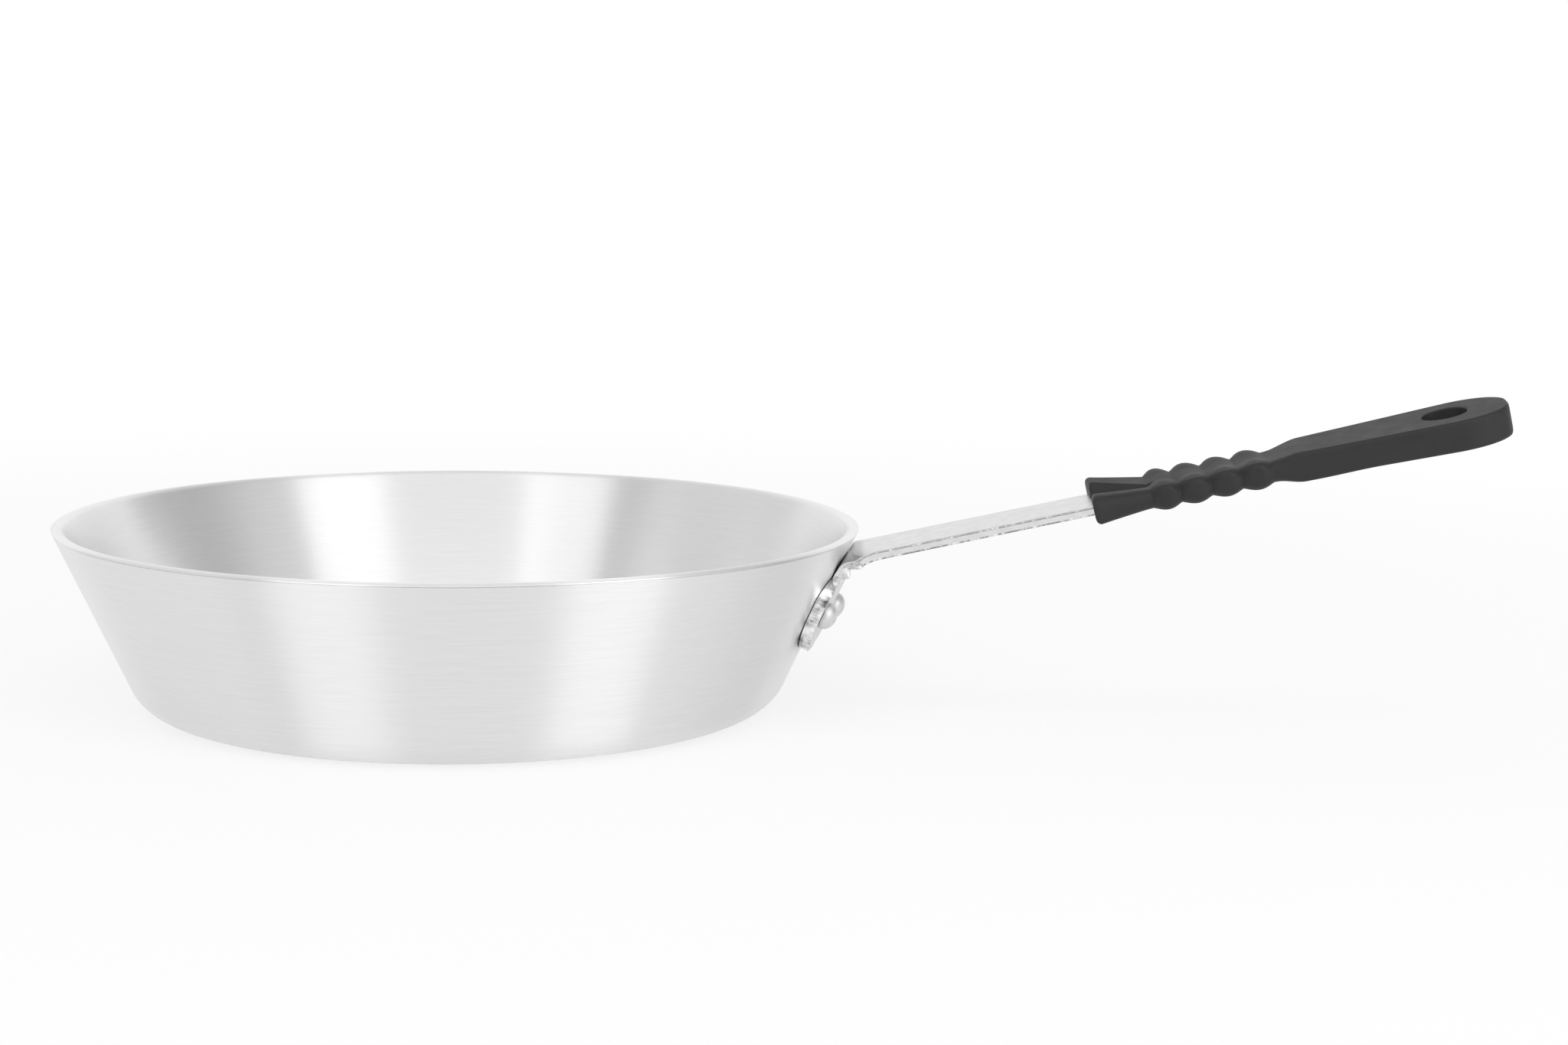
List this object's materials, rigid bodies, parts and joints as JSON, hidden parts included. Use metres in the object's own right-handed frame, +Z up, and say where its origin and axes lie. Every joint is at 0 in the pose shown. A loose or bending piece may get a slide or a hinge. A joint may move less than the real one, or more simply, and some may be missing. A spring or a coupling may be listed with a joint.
{
  "type": "frying pan",
  "caption": "Tapered frying pan with a spun metal bowl, a riveted flat strap handle that slopes upward and a beaded pull-on grip with a hanging hole.",
  "frame": {"origin": "centre of the flat underside of the base", "axes": "+X along the handle, away from the bowl, +Z up out of the bowl, +Y to the left of someone looking along +X"},
  "size_m": [0.5443, 0.305, 0.1274],
  "materials": {
    "spun_aluminium": "satin, with fine turning lines round the axis",
    "plated_steel": "smooth satin plating with bright sheared edges",
    "rivet_aluminium": "satin",
    "silicone": "matte charcoal"
  },
  "bodies": {
    "pan": {"pan_body": "spun_aluminium", "handle_strap": "plated_steel", "rivet_left": "rivet_aluminium", "rivet_right": "rivet_aluminium"},
    "grip": {"grip_sleeve": "silicone"}
  },
  "joints": [
    {"name": "grip_slide", "type": "slide", "parent": "pan", "child": "grip", "axis": [0.9715, 0, 0.2368], "range_m": [0, 0.125]}
  ]
}
